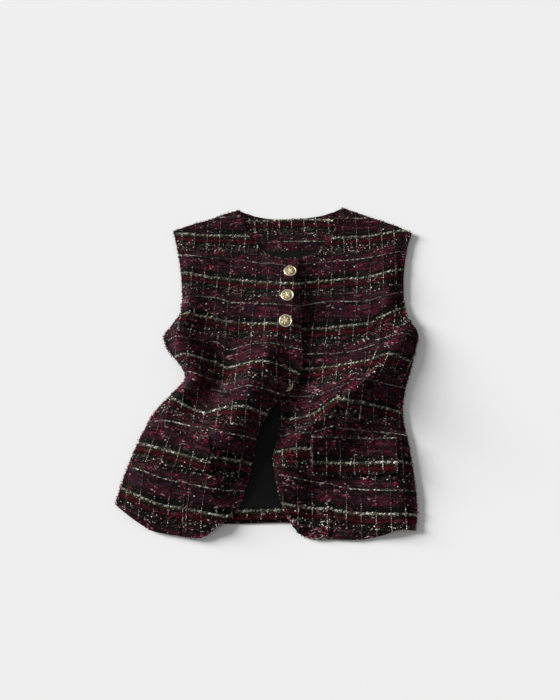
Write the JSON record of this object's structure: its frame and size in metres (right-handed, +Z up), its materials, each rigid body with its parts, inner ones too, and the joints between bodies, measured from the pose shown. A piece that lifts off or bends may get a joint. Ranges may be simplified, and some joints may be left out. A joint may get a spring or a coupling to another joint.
{
  "type": "women's collarless tweed waistcoat, laid flat",
  "caption": "Sleeveless round-neck tweed waistcoat laid on its back, buttoned at the chest, fronts swung open and ridged at the hem, with pocket flaps and shank buttons.",
  "frame": {"origin": "middle of the laid garment's footprint, on the surface it rests on", "axes": "+Y from hem to neck, +X to the right seen from above with the neck away, +Z up off the surface"},
  "size_m": [0.445, 0.5288, 0.0375],
  "materials": {
    "tweed": "loosely woven boucle tweed in burgundy, black and green-grey with pale lines",
    "lining": "black satin",
    "gilt": "polished gilt with a raised relief"
  },
  "bodies": {
    "root": {"back": "tweed", "back_neck_facing": "tweed", "back_lining": "lining", "back_hem_facing": "tweed", "over_front_centre": "tweed", "over_front_side": "tweed", "under_front_centre": "tweed", "under_front_side": "tweed", "over_flap": "tweed", "under_flap": "tweed", "button_1": "gilt", "button_2": "gilt", "button_3": "gilt", "button_4": "gilt"}
  },
  "joints": []
}
